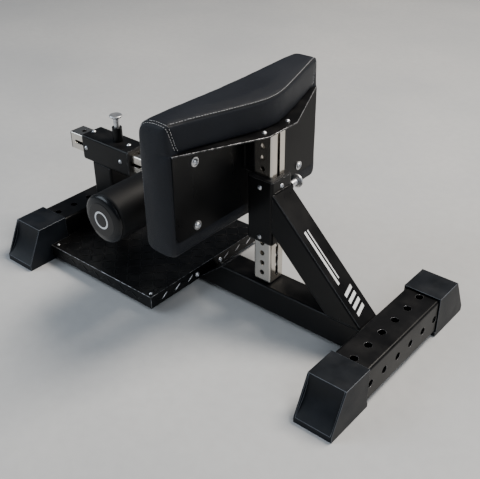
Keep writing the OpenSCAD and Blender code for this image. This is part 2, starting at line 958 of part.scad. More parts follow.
rear_cross_tube();
front_cross_tube();
rear_left_foot();
rear_right_foot();
front_left_foot();
front_right_foot();
centre_rail();
platform_spine();
foot_platform();
platform_bolts();
platform_corner_screws();
front_post();
front_sleeve();
front_sleeve_front_liner();
front_sleeve_rear_liner();
front_set_screws();
roller_stop_screw();
reach_pin_barrel();
reach_pin_spring();
upright_brace();
upright_sleeve();
upper_liner();
lower_liner();
upright_set_screws();
post_stop_screw();
height_pin_barrel();
height_pin_spring();
pad_post();
post_bottom_plug();
pad_plate();
pad_spacer();
pad_board();
pad_cushion();
pad_bolts();
pad_washers();
pad_tee_nuts();
flange_screws();
roller_bar();
roller_bar_front_plug();
roller_bar_rear_plug();
roller_axle();
axle_spacers();
axle_washers();
axle_screws();
left_roller_foam();
left_roller_core();
left_roller_bushes();
left_roller_outer_cap();
left_roller_inner_cap();
right_roller_foam();
right_roller_core();
right_roller_bushes();
right_roller_outer_cap();
right_roller_inner_cap();
height_pin_plunger();
height_pin_knob();
reach_pin_plunger();
reach_pin_knob();
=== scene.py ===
"""Looks for the hip thrust bench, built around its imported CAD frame. Metres, +Z up."""

import json
import math
import random

import bmesh
import bpy
from mathutils import Matrix, Vector, noise
from mathutils.bvhtree import BVHTree
from mathutils.kdtree import KDTree


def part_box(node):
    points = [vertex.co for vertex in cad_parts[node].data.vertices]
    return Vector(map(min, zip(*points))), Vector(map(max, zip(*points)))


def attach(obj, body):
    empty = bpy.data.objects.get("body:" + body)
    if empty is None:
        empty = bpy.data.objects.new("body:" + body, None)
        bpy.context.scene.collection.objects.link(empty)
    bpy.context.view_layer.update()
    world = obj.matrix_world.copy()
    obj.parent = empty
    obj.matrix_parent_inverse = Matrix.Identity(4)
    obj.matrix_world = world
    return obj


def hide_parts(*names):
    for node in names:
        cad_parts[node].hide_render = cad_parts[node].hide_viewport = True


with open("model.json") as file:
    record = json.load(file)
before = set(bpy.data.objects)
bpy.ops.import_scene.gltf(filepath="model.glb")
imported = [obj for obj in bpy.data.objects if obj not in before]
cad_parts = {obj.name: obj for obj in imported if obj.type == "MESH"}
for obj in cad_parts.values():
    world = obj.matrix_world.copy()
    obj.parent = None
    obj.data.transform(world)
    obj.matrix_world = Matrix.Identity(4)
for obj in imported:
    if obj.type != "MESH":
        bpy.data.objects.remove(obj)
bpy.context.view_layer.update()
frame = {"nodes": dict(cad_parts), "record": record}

MM = 0.001
RECORD = frame["record"]
BODY_OF = {node: body for body, nodes in RECORD["behaviour"]["bodies"].items() for node in nodes}
SLOT_OF = {part["node"]: part["material_slot"] for part in RECORD["subparts"]}


# ---- Materials ----

class Look:
    """A material and short calls for the nodes that it is made of. Textures use the
    piece's own coordinates, in metres, so a scale of 1000 is a millimetre."""

    def __init__(self, name):
        self.material = bpy.data.materials.new(name)
        self.material.use_nodes = True
        self.tree = self.material.node_tree
        self.shader = self.tree.nodes["Principled BSDF"]
        self.place = self.node("ShaderNodeTexCoord").outputs["Object"]

    def node(self, kind, inputs=None, **settings):
        made = self.tree.nodes.new(kind)
        for key, value in settings.items():
            setattr(made, key, value)
        for key, value in (inputs or {}).items():
            self.feed(made.inputs[key], value)
        return made

    def feed(self, socket, value):
        if isinstance(value, bpy.types.NodeSocket):
            self.tree.links.new(value, socket)
        else:
            socket.default_value = value

    def set(self, **values):
        """Feeds shader sockets: base_color="..." goes to the socket Base Color."""
        for key, value in values.items():
            self.feed(self.shader.inputs[key.replace("_", " ").title().replace("Ior", "IOR")], value)

    def stretched(self, stretch):
        return self.node("ShaderNodeMapping", {"Vector": self.place, "Scale": stretch}).outputs[0]

    def noise(self, scale, detail=2.0, stretch=(1, 1, 1)):
        inputs = {"Vector": self.stretched(stretch), "Scale": scale, "Detail": detail}
        return self.node("ShaderNodeTexNoise", inputs).outputs["Fac"]

    def cells(self, scale, feature="F1", place=None, **inputs):
        inputs.update({"Vector": place or self.place, "Scale": scale})
        return self.node("ShaderNodeTexVoronoi", inputs, feature=feature).outputs["Distance"]

    def span(self, value, low, high, to_low=0.0, to_high=1.0):
        inputs = {"Value": value, "From Min": low, "From Max": high, "To Min": to_low, "To Max": to_high}
        return self.node("ShaderNodeMapRange", inputs).outputs[0]

    def math(self, operation, a, b=0.0):
        return self.node("ShaderNodeMath", {0: a, 1: b}, operation=operation).outputs[0]

    def mix(self, factor, a, b):
        inputs = {0: factor, 6: rgba(a), 7: rgba(b)}
        return self.node("ShaderNodeMix", inputs, data_type="RGBA").outputs[2]

    def upward(self):
        """1 on a face that looks up, 0 on one that looks sideways or down."""
        normal = self.node("ShaderNodeNewGeometry").outputs["Normal"]
        return self.node("ShaderNodeSeparateXYZ", {0: normal}).outputs["Z"]

    def bump(self, height, distance, normal=None):
        inputs = {"Height": height, "Distance": distance, "Strength": 1.0}
        if normal is not None:
            inputs["Normal"] = normal
        return self.node("ShaderNodeBump", inputs).outputs[0]


def rgba(colour):
    return colour if isinstance(colour, bpy.types.NodeSocket) else (*colour[:3], 1.0)


def shade(colour, factor):
    return tuple(min(1.0, c * factor) for c in colour)


def dusted(look, colour, dust, amount):
    """colour with a thin, patchy film of dust on the faces that look up."""
    patches = look.span(look.noise(28, 4), 0.45, 0.75)
    film = look.math("MULTIPLY", look.span(look.upward(), 0.3, 1.0), patches)
    return look.mix(look.math("MULTIPLY", film, amount), colour, dust)


def powder_coat(name, colour, rough, peel=4e-5):
    """Satin powder coat: orange peel, faint cloudy gloss, fine rubs and a little dust."""
    look = Look(name)
    cloud = look.noise(11, 3)
    rubs = look.span(look.noise(90, 5, (1, 1, 0.12)), 0.62, 0.72)
    base = look.mix(look.span(cloud, 0.35, 0.7), shade(colour, 0.8), shade(colour, 1.25))
    base = look.mix(look.math("MULTIPLY", rubs, 0.35), base, shade(colour, 2.4))
    look.set(
        base_color=dusted(look, base, (0.16, 0.15, 0.14), 0.05),
        roughness=look.math("SUBTRACT", look.span(cloud, 0.3, 0.7, rough - 0.04, rough + 0.07),
                            look.math("MULTIPLY", rubs, 0.08)),
        metallic=0.0,
        specular_ior_level=0.2,
        normal=look.bump(look.noise(620, 2), peel, look.bump(look.noise(2600, 2), peel / 4)),
    )
    return look.material


def worn_edge_highlight(name, paint, metal):
    """The rubbed line along an edge, where paint is thin and metal starts to show, with the paint made
    four times lighter as a painted highlight.
    """
    look = Look(name)
    wear = look.span(look.noise(130, 5), 0.4, 0.58)
    look.set(
        # Painted highlight: the edge's paint is four times lighter than the paint itself, mixed with worn
        # metal.
        base_color=look.mix(wear, shade(paint, 4), metal),
        metallic=look.math("MULTIPLY", wear, 0.7),
        roughness=look.span(wear, 0.0, 1.0, 0.36, 0.3),
        normal=look.bump(look.noise(900, 3), 3e-5),
    )
    return look.material


def moulded(name, colour, rough, grain=900, depth=4e-5, dust=0.08, gloss=0.5):
    """Moulded rubber or plastic: fine grain, soft mottling and dust."""
    look = Look(name)
    mottle = look.noise(24, 4)
    pits = look.cells(grain)
    base = look.mix(look.span(mottle, 0.3, 0.7), shade(colour, 0.75), shade(colour, 1.35))
    look.set(
        base_color=dusted(look, base, (0.2, 0.19, 0.18), dust),
        roughness=look.span(mottle, 0.3, 0.7, rough - 0.06, rough + 0.06),
        specular_ior_level=gloss,
        normal=look.bump(pits, depth, look.bump(look.noise(grain * 2.5, 2), depth / 2)),
    )
    return look.material


def chromed(name, colour, rough, along):
    """Bright tube: polishing lines along one axis, with faint smears and rub marks."""
    look = Look(name)
    across = tuple(0.03 if axis == along else 1.0 for axis in "xyz")
    lines = look.noise(1500, 3, across)
    smears = look.noise(22, 4, tuple(0.4 if axis == along else 1.0 for axis in "xyz"))
    look.set(
        base_color=look.mix(look.span(smears, 0.35, 0.75), colour, shade(colour, 0.82)),
        metallic=1.0,
        roughness=look.math("ADD", look.span(smears, 0.35, 0.7, rough, rough + 0.12),
                            look.span(lines, 0.3, 0.7, -0.02, 0.03)),
        normal=look.bump(lines, 6e-6),
    )
    return look.material


def plated(name, colour, rough):
    """Zinc or nickel plate: grainy sheen with dulled, stained patches."""
    look = Look(name)
    grain = look.noise(1800, 3)
    stain = look.noise(120, 4)
    look.set(
        base_color=look.mix(look.span(stain, 0.4, 0.75), colour, shade(colour, 0.62)),
        metallic=1.0,
        roughness=look.span(stain, 0.3, 0.7, rough - 0.06, rough + 0.12),
        normal=look.bump(grain, 1.2e-5),
    )
    return look.material


def grained_vinyl(name, colour, rough, grain, depth):
    """Upholstery vinyl: pebble grain in two sizes, with painted shade in its valleys."""
    look = Look(name)
    wander = look.node("ShaderNodeTexNoise", {"Vector": look.place, "Scale": 60.0}).outputs["Color"]
    shifted = look.node("ShaderNodeVectorMath", {0: look.place, 1: wander}, operation="ADD")
    pebbles = look.cells(grain, "SMOOTH_F1", Smoothness=0.6)
    creases = look.cells(grain * 0.42, "DISTANCE_TO_EDGE", shifted.outputs[0])
    broad = look.noise(9, 3)
    relief = look.math("SUBTRACT", look.span(creases, 0.0, 0.12), look.math("MULTIPLY", pebbles, 0.7))
    base = look.mix(look.span(broad, 0.3, 0.7), shade(colour, 0.88), shade(colour, 1.18))
    # Painted shade: the grain's creases are darkened.
    base = look.mix(look.span(creases, 0.0, 0.05, 0.35, 0.0), base, shade(colour, 0.45))
    look.set(
        base_color=base,
        roughness=look.math("ADD", look.span(broad, 0.3, 0.7, rough - 0.03, rough + 0.05),
                            look.math("MULTIPLY", pebbles, 0.08)),
        specular_ior_level=0.2,
        normal=look.bump(relief, depth),
    )
    return look.material


def plywood(name):
    """Birch ply: the plies run as bands through the thickness, with long pale grain."""
    look = Look(name)
    plies = look.node(
        "ShaderNodeTexWave", {"Vector": look.place, "Scale": 210.0, "Distortion": 0.6, "Detail": 2.0},
        bands_direction="X",
    ).outputs["Fac"]
    grain = look.noise(260, 4, (1, 0.06, 1))
    wood = look.mix(look.span(grain, 0.3, 0.7), (0.42, 0.28, 0.15), (0.58, 0.42, 0.25))
    look.set(
        base_color=look.mix(look.span(plies, 0.4, 0.6, 0.0, 0.5), wood, (0.26, 0.16, 0.08)),
        roughness=look.span(grain, 0.3, 0.7, 0.55, 0.75),
        normal=look.bump(grain, 5e-5),
    )
    return look.material


def twisted_thread(name, colour):
    """Sewing thread: fibres with a twist and a little fuzz in the colour."""
    look = Look(name)
    fibres = look.noise(4200, 3, (1, 0.5, 0.5))
    look.set(
        base_color=look.mix(look.span(fibres, 0.3, 0.7), shade(colour, 0.7), colour),
        roughness=look.span(fibres, 0.3, 0.7, 0.65, 0.8),
        normal=look.bump(fibres, 4e-5),
    )
    return look.material


def printed(name, colour):
    """Screen-printed ink, thin and slightly uneven."""
    look = Look(name)
    wear = look.noise(180, 5)
    look.set(
        base_color=look.mix(look.span(wear, 0.62, 0.8, 0.0, 0.6), colour, shade(colour, 0.5)),
        roughness=look.span(wear, 0.3, 0.7, 0.4, 0.55),
        normal=look.bump(look.noise(620, 2), 4e-5),
    )
    return look.material


PAINT = (0.0028, 0.0029, 0.0034)
STEEL = (0.74, 0.75, 0.77)
CHROME = (0.72, 0.68, 0.62)
CHROME_ROUGH = 0.13
LOOKS = {
    "frame_paint": powder_coat("frame_paint_look", PAINT, 0.33),
    "tread_paint": powder_coat("tread_paint_look", (0.0026, 0.0027, 0.003), 0.34, 5e-5),
    "foot_rubber": moulded("foot_rubber_look", (0.0068, 0.0084, 0.0112), 0.42, 1100, 3e-5, 0.04, 0.16),
    "tube_chrome": chromed("post_chrome_look", CHROME, CHROME_ROUGH, "z"),
    "zinc_steel": plated("zinc_steel_look", STEEL, 0.36),
    "pin_steel": plated("pin_steel_look", (0.86, 0.87, 0.89), 0.4),
    "liner_plastic": moulded("liner_plastic_look", (0.008, 0.008, 0.009), 0.48, 1400, 2e-5, 0.04),
    "cap_plastic": moulded("cap_plastic_look", (0.003, 0.0035, 0.0045), 0.22, 1600, 1e-5, 0.02, 0.34),
    "roller_foam": grained_vinyl("roller_vinyl_look", (0.0042, 0.0046, 0.0055), 0.5, 1500, 3e-5),
    "pad_board_wood": plywood("plywood_look"),
    "pad_vinyl": grained_vinyl("pad_vinyl_look", (0.0105, 0.0122, 0.0165), 0.43, 950, 6e-5),
}
BAR_CHROME = chromed("bar_chrome_look", CHROME, CHROME_ROUGH, "x")
# Worn paint on the bevelled frame edges, lightened as a painted edge highlight.
WORN_PAINT_HIGHLIGHT = worn_edge_highlight("worn_paint_highlight_look", PAINT, (0.4, 0.4, 0.42))
# Painted highlight: rubber about ten times lighter on the feet's bevelled edges, in place of light caught
# along them.
RUBBER_EDGE_HIGHLIGHT = moulded("rubber_edge_highlight_look", (0.075, 0.086, 0.104), 0.34, 1100, 3e-5, 0.08, 0.5)
# Painted highlight: near-white bars on the skirt in place of light caught by the dark tread.
TREAD_HIGHLIGHT = worn_edge_highlight("tread_highlight_look", (0.2, 0.2, 0.21), (0.7, 0.71, 0.73))
THREAD = twisted_thread("pad_thread_look", (0.72, 0.72, 0.73))
SEAM_DARK = moulded("seam_shadow_look", (0.004, 0.004, 0.005), 0.8, 1500, 2e-5, 0.0)
PRINT = printed("brace_print_look", (0.78, 0.79, 0.8))


# ---- Mesh helpers ----

SLIVER = 0.001 * MM
SAME_PLACE = 0.002 * MM
SAME_PLANE = math.radians(0.6)
SHORT_EDGE = 2 * MM


def piece_from(name, mesh, body, slot, material=None, smooth=True):
    """An object from a bmesh, riding on a body with the slot's material."""
    data = bpy.data.meshes.new(name)
    mesh.to_mesh(data)
    mesh.free()
    for polygon in data.polygons:
        polygon.use_smooth = smooth
    data.materials.append(material or LOOKS[slot])
    made = bpy.data.objects.new(name, data)
    bpy.context.scene.collection.objects.link(made)
    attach(made, body)
    return made


def bake_modifiers(made):
    """Applies every modifier, so that the mesh holds the final shape."""
    graph = bpy.context.evaluated_depsgraph_get()
    data = bpy.data.meshes.new_from_object(made.evaluated_get(graph), depsgraph=graph)
    made.modifiers.clear()
    made.data = data


def weighted(made):
    """Leans each corner's normal to its largest face, so that flats stay flat."""
    modifier = made.modifiers.new("weighted", "WEIGHTED_NORMAL")
    modifier.weight = 80
    modifier.keep_sharp = True


def clean_copy(node):
    """The CAD node's shape with its coplanar triangles joined into faces, and with no
    slivers, which would keep a bevel from opening."""
    mesh = bmesh.new()
    mesh.from_mesh(frame["nodes"][node].data)
    bmesh.ops.remove_doubles(mesh, verts=mesh.verts, dist=SAME_PLACE)
    spare = set()
    for face in mesh.faces:
        longest = max(face.edges, key=lambda line: line.calc_length())
        if face.calc_area() < SLIVER * longest.calc_length():
            spare.add(longest)
    bmesh.ops.dissolve_edges(mesh, edges=list(spare), use_verts=False)
    bmesh.ops.dissolve_limit(mesh, angle_limit=SAME_PLANE, verts=mesh.verts[:], edges=mesh.edges[:])
    return mesh


def soften(node, width, segments=2, material=None, edge=None, limit=32, shortest=0.0):
    """A finished copy of a CAD node with its edges of over limit degrees rounded to width
    and given the edge material. Those that meet an edge under shortest stay sharp."""
    mesh = clean_copy(node)
    weight = mesh.edges.layers.float.new("bevel_weight_edge")
    for line in mesh.edges:
        near = min(other.calc_length() for corner in line.verts for other in corner.link_edges)
        sharp = line.calc_face_angle(0.0) > math.radians(limit)
        line[weight] = 1.0 if sharp and near > shortest else 0.0
    made = piece_from(node + "_finish", mesh, BODY_OF[node], SLOT_OF[node], material)
    bevel = made.modifiers.new("edges", "BEVEL")
    bevel.width = width
    bevel.segments = segments
    bevel.limit_method = "WEIGHT"
    bevel.miter_outer = "MITER_ARC"
    if edge is not None:
        made.data.materials.append(edge)
        bevel.material = 1
    weighted(made)
    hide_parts(node)
    return made


def sweep(mesh, rings):
    """Joins rings of points into a skin in mesh, and caps its ends."""
    loops = [[mesh.verts.new(point) for point in ring] for ring in rings]
    count = len(loops[0])
    for a, b in zip(loops, loops[1:]):
        for i in range(count):
            mesh.faces.new((a[i], a[(i + 1) % count], b[(i + 1) % count], b[i]))
    mesh.faces.new(loops[0][::-1])
    mesh.faces.new(loops[-1])


def ring_at(centre, tangent, up, radius, sides, flat=1.0):
    """A ring of points round tangent. flat squeezes it along up."""
    side = tangent.cross(up).normalized()
    rise = side.cross(tangent).normalized()
    return [
        centre + side * (radius * math.cos(a)) + rise * (radius * flat * math.sin(a))
        for a in (2 * math.pi * i / sides for i in range(sides))
    ]


def lathe(mesh, profile, centre, axis, steps=96):
    """Turns profile, a list of (radius, distance along axis), about the axis through centre."""
    axis = Vector(axis).normalized()
    across = axis.orthogonal().normalized()
    other = axis.cross(across)
    turned = []
    for i in range(steps):
        a = 2 * math.pi * i / steps
        out = across * math.cos(a) + other * math.sin(a)
        turned.append([centre + out * r + axis * d for r, d in profile])
    loops = [[mesh.verts.new(p) for p in line] for line in turned]
    for i in range(steps):
        a, b = loops[i], loops[(i + 1) % steps]
        for k in range(len(profile) - 1):
            mesh.faces.new((a[k], b[k], b[k + 1], a[k + 1]))
    bmesh.ops.remove_doubles(mesh, verts=mesh.verts, dist=1e-7)


def arc(centre, radius, start, end, steps):
    """Points of an arc as (x, y), from start to end degrees."""
    return [
        (centre[0] + radius * math.cos(math.radians(start + (end - start) * i / steps)),
         centre[1] + radius * math.sin(math.radians(start + (end - start) * i / steps)))
        for i in range(steps + 1)
    ]


# ---- Steel, plastic and rubber pieces that keep their CAD shape ----

def finish_frame():
    """Rounds the edges of the pieces whose CAD shape is already right."""
    for node in ("rear_cross_tube", "front_cross_tube", "centre_rail", "platform_spine", "front_post",
                 "upright_brace", "pad_spacer"):
        # The rounded edges get the worn paint look, which carries a painted highlight.
        soften(node, 0.7 * MM, edge=WORN_PAINT_HIGHLIGHT)
    for node in ("front_sleeve", "upright_sleeve"):
        soften(node, 0.8 * MM, edge=WORN_PAINT_HIGHLIGHT)
    soften("pad_plate", 0.8 * MM, edge=WORN_PAINT_HIGHLIGHT, shortest=SHORT_EDGE)
    for node in ("reach_pin_barrel", "height_pin_barrel"):
        soften(node, 0.5 * MM)
    soften("roller_bar", 0.4 * MM, material=BAR_CHROME)
    for node in ("front_sleeve_front_liner", "front_sleeve_rear_liner", "upper_liner", "lower_liner",
                 "post_bottom_plug", "roller_bar_front_plug", "roller_bar_rear_plug"):
        soften(node, 0.5 * MM)
    for node in ("reach_pin_knob", "height_pin_knob"):
        soften(node, 0.35 * MM, limit=20)
    for node in ("rear_left_foot", "rear_right_foot", "front_left_foot", "front_right_foot"):
        # The feet's edges get the lighter rubber as a painted highlight.
        soften(node, 1.7 * MM, segments=3, edge=RUBBER_EDGE_HIGHLIGHT, shortest=SHORT_EDGE)


# ---- Welds ----

def weld(mesh, start, end, normal, radius=2.3 * MM):
    """A bead of overlapped ripples from start to end, fattest in the corner."""
    start, end, normal = Vector(start) * MM, Vector(end) * MM, Vector(normal)
    run = end - start
    tangent = run.normalized()
    steps = max(4, int(run.length / (0.9 * MM)))
    rings = []
    for i in range(steps + 1):
        along = run.length * i / steps
        ripple = 1 + 0.13 * math.sin(2 * math.pi * along / (2.7 * MM)) + 0.07 * random.uniform(-1, 1)
        ends = min(1.0, 0.35 + 4 * min(i, steps - i) / steps)
        sway = normal * (0.2 * MM * math.sin(along / (7 * MM)))
        centre = start + run * (i / steps) + sway
        rings.append(ring_at(centre, tangent, normal, radius * ripple * ends, 8, 0.8))
    sweep(mesh, rings)


def add_welds():
    """Beads where the welded tubes and plates meet. Places are in millimetres, and mitre is
    the length of a 45 degree cut through a 65 mm beam."""
    beads = {"frame": bmesh.new(), "pad_carriage": bmesh.new()}
    low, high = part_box("upright_brace")
    sleeve, foot, rail = low.x / MM, high.x / MM, low.z / MM
    mitre = 65 * math.sqrt(2)
    top, bottom = high.z / MM, high.z / MM - mitre
    nose = foot - mitre
    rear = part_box("rear_cross_tube")[0].x / MM
    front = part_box("front_cross_tube")[1].x / MM
    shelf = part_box("front_sleeve")[0].z / MM
    post_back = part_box("front_post")[1].x / MM
    half, flat = 31.2, 26
    for side in (-1, 1):
        y = side * half
        out = (0, side, 0)
        weld(beads["frame"], (sleeve - 0.3, y, bottom + 2), (sleeve - 0.3, y, top - 2), (0.7, side, 0))
        weld(beads["frame"], (nose + 2, y, rail + 0.3), (foot - 2, y, rail + 0.3), (0, side, 0.7))
        weld(beads["frame"], (rear - 0.4, y, 16), (rear - 0.4, y, rail - 5), out)
        weld(beads["frame"], (front + 0.4, y, 48), (front + 0.4, y, 86), out)
        weld(beads["frame"], (front + 4, y, shelf), (post_back - 4, y, shelf), out)
    weld(beads["frame"], (sleeve + 0.6, -flat, top + 0.4), (sleeve + 0.6, flat, top + 0.4), (0.7, 0, 0.7))
    weld(beads["frame"], (sleeve + 0.4, -flat, bottom), (sleeve + 0.4, flat, bottom), (0.7, 0, -0.7))
    weld(beads["frame"], (nose, -flat, rail + 0.4), (nose, flat, rail + 0.4), (-0.7, 0, 0.7))
    weld(beads["frame"], (rear - 0.6, -flat, rail + 0.4), (rear - 0.6, flat, rail + 0.4), (-0.7, 0, 0.7))
    weld(beads["frame"], (post_back - 0.2, -flat, shelf), (post_back - 0.2, flat, shelf), (1, 0, 0))
    low, high = (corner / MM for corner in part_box("pad_spacer"))
    for side in (-1, 1):
        for x in (low.x + 0.5, high.x - 0.5):
            y = side * (high.y + 0.6)
            weld(beads["pad_carriage"], (x, y, low.z + 2), (x, y, high.z - 2), (0, side, 0), 1.8 * MM)
    for body, mesh in beads.items():
        piece_from(body + "_welds", mesh, body, "frame_paint")


# ---- Foot platform ----

def tread_bar(mesh, centre, along, normal, length=25 * MM, width=5.4 * MM, height=1.2 * MM):
    """One raised bar of the tread, pointed at both ends and rounded over."""
    side = normal.cross(along).normalized()
    rings = []
    for i in range(9):
        u = -1 + i / 4
        swell = max(0.02, (1 - u * u)) ** 0.62
        middle = centre + along * (u * length / 2) - normal * (0.15 * MM)
        arch = [math.radians(a) for a in (0, 36, 72, 108, 144, 180)]
        rings.append([
            middle + side * (width / 2 * swell * math.cos(a)) + normal * (height * swell * math.sin(a))
            for a in arch
        ])
    sweep(mesh, rings)


def add_platform():
    """The folded sheet, and the tread raised on its top and skirts, with every other skirt bar painted
    pale as a painted highlight.
    """
    soften("foot_platform", 0.8 * MM, segments=3, edge=WORN_PAINT_HIGHLIGHT, shortest=SHORT_EDGE)
    low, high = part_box("foot_platform")
    pitch, margin, corner = 21 * MM, 13 * MM, 20 * MM
    rail_half, bolt_y, bolt_room = 45 * MM, 40 * MM, 11 * MM
    tread, highlit_bars = bmesh.new(), bmesh.new()
    up, back = Vector((0, 0, 1)), Vector((1, 0, 0))
    columns = int((high.y - margin) / pitch)
    rows = int((high.x - low.x - 2 * margin) / pitch)
    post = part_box("front_post")
    for i in range(rows + 1):
        x = high.x - margin - i * pitch
        for j in range(-columns, columns + 1):
            y = j * pitch
            by_post = x < post[1].x + margin and abs(y) < post[1].y + margin
            by_screw = abs(y) > high.y - corner and min(x - low.x, high.x - x) < corner
            if by_post or by_screw:
                continue
            lean = 1 if (i + j) % 2 else -1
            tread_bar(tread, Vector((x, y, high.z)), Vector((1, lean, 0)).normalized(), up)
    middle = (low.z + high.z) / 2
    for j in range(-columns, columns + 1):
        y = j * pitch
        if abs(abs(y) - bolt_y) > bolt_room and abs(y) > rail_half:
            lean = 1 if j % 2 else -1
            along = Vector((0, 18 * lean, 12)).normalized()
            # Every other skirt bar gets the pale look, a painted highlight.
            mesh = highlit_bars if lean > 0 else tread
            tread_bar(mesh, Vector((high.x, y, middle)), along, back, 22 * MM, 2.6 * MM)
    for side in (-1, 1):
        for i in range(1, rows):
            lean = 1 if i % 2 else -1
            x = high.x - margin - i * pitch
            place = Vector((x, side * high.y, middle))
            tread_bar(tread, place, Vector((lean, 0, 0.75)).normalized(), Vector((0, side, 0)), 23 * MM)
    piece_from("tread_bars", tread, "frame", "tread_paint")
    piece_from("highlit_tread_bars", highlit_bars, "frame", "tread_paint", TREAD_HIGHLIGHT)


# ---- Back pad ----

PAD_LOW, PAD_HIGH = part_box("pad_cushion")
PLATE_LOW, PLATE_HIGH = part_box("pad_plate")
BOARD_LOW, BOARD_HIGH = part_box("pad_board")
PAD_END = 12 * MM
CROWN = 3.5 * MM
PAD_INSET = 1.2 * MM
SWELL = 4.0 * MM
SEAM_Y = PAD_HIGH.y - 8 * MM
SEAM_FOOT_Y = PAD_HIGH.y - 25 * MM
BAND_SLOPE = 0.345
BAND_WAIST = 38.8 * MM
BESIDE = 2.8 * MM
TOP_RADIUS = 40 * MM
HELD_BY_SEAM = 4.5 * MM
PRESSURE = 4.0
FRAMES = 20


def band_x(y):
    """Where the back of the upper band is at distance y from the middle."""
    return PAD_HIGH.x - BAND_SLOPE * (math.hypot(y, BAND_WAIST) - BAND_WAIST)


def fuller(point):
    """Moves a point of the pad's left end, which is sewn a little longer and higher."""
    left = smooth_step(-60 * MM, PAD_HIGH.y, point.y)
    raised = smooth_step(PAD_HIGH.z - 110 * MM, PAD_HIGH.z, point.z)
    return Vector((point.x, point.y + 5 * MM * left, point.z + 3.5 * MM * left * raised))


def smooth_step(low, high, value):
    t = max(0.0, min(1.0, (value - low) / (high - low)))
    return t * t * (3 - 2 * t)


def rounded_loop(corners):
    """A closed outline from (x, z, radius, arc steps, line steps) corners."""
    count = len(corners)
    cuts = []
    for i, (x, z, radius, _, _) in enumerate(corners):
        here = Vector((x, z))
        before = (Vector(corners[i - 1][:2]) - here).normalized()
        after = (Vector(corners[(i + 1) % count][:2]) - here).normalized()
        cut = radius / math.tan(before.angle(after) / 2)
        cuts.append((here + before * cut, here, here + after * cut))
    points = []
    for i, (first, here, last) in enumerate(cuts):
        arc_steps, line_steps = corners[i][3:]
        for k in range(arc_steps + 1):
            t = k / arc_steps
            points.append(first.lerp(here, t).lerp(here.lerp(last, t), t))
        target = cuts[(i + 1) % count][0]
        points += [last.lerp(target, k / line_steps) for k in range(1, line_steps)]
    return points


def pad_section(y, inset):
    """The pad's outline across Y = y, pulled in by inset. Its back is pressed in behind
    the plate, stands proud round the plate's border, and its top juts out over the shelf."""
    past_plate = smooth_step(PLATE_HIGH.y - 3 * MM, PLATE_HIGH.y + 1 * MM, abs(y))
    back = PLATE_LOW.x + 4 * MM - inset
    pressed = PLATE_LOW.x + 1.2 * MM
    under = pressed + (back - 0.2 * MM - pressed) * past_plate
    rear = max(band_x(abs(y)), PLATE_LOW.x + 0.6 * MM) - inset
    shelf = PLATE_HIGH.z + 0.3 * MM
    front, low = PAD_LOW.x + inset, PAD_LOW.z + inset
    high = PAD_HIGH.z - inset + CROWN * math.sqrt(1 - (y / PAD_HIGH.y) ** 2)
    jut, proud = abs(rear - under), back - under
    return rounded_loop([
        (back, low, 24 * MM, 6, 4), (front, low, 22 * MM, 6, 24), (front, high, TOP_RADIUS, 8, 10),
        (rear, high, 4 * MM, 4, 8), (rear, shelf, min(1.4 * MM, 0.4 * jut), 2, 5),
        (under, shelf, min(0.4 * MM, 0.3 * jut), 1, 16),
        (under, PLATE_LOW.z, 0.35 * proud, 2, 1), (back, PLATE_LOW.z - 3 * MM, 0.35 * proud, 2, 1),
    ])


def pad_base():
    """The pad before it is stuffed: sections along Y with rounded ends."""
    half = PAD_HIGH.y - PAD_INSET
    straight = half - PAD_END
    round_end = [
        (straight + PAD_END * math.sin(math.radians(a)), PAD_END * (1 - math.cos(math.radians(a))))
        for a in (15, 30, 45, 60, 75, 90)
    ]
    count = 72
    stations = [(-y, inset) for y, inset in reversed(round_end)]
    stations += [(straight * (2 * i / count - 1), 0.0) for i in range(count + 1)]
    stations += round_end
    mesh = bmesh.new()
    sweep(mesh, [
        [fuller(Vector((p.x, y, p.y))) for p in pad_section(y, PAD_INSET + inset)]
        for y, inset in stations
    ])
    bmesh.ops.recalc_face_normals(mesh, faces=mesh.faces[:])
    return mesh


def seam_paths():
    """The seams before they settle: along the band's top edge, and round each end from the
    front over the top and down across the band."""
    front, high = PAD_LOW.x + PAD_INSET, PAD_HIGH.z - PAD_INSET
    ends = SEAM_Y - 2 * MM
    paths = {"band": [
        fuller(Vector((band_x(abs(y)) - 1.5 * MM, y, high)))
        for y in (ends * (-1 + 2 * i / 150) for i in range(151))
    ]}
    profile = [(front, PAD_LOW.z + (30 + 4 * i) * MM) for i in range(54)]
    profile += arc((front + TOP_RADIUS, high - TOP_RADIUS), TOP_RADIUS, 180, 90, 14)
    profile += [(front + (42 + 4 * i) * MM, high) for i in range(8)]
    crown = Vector((PLATE_LOW.x - 3 * MM, SEAM_Y, high - 2 * MM))
    foot = Vector((PLATE_LOW.x + 2 * MM, SEAM_FOOT_Y, PLATE_HIGH.z))
    for side, name in ((-1, "right_end"), (1, "left_end")):
        path = [Vector((x, SEAM_Y, z)) for x, z in profile]
        path += [crown.lerp(foot, i / 18) for i in range(19)]
        rounded = mean_run(dense(path, 2 * MM), 5)
        paths[name] = [fuller(Vector((p.x, side * p.y, p.z))) for p in rounded]
    return paths


def finder(points):
    """A tree that finds the nearest of some points."""
    tree = KDTree(len(points))
    for i, point in enumerate(points):
        tree.insert(point, i)
    tree.balance()
    return tree


def dense(path, spacing):
    """The path's points with others added between them, about spacing apart."""
    points = []
    for a, b in zip(path, path[1:]):
        pieces = max(1, round((b - a).length / spacing))
        points += [a.lerp(b, i / pieces) for i in range(pieces)]
    return points + [path[-1]]


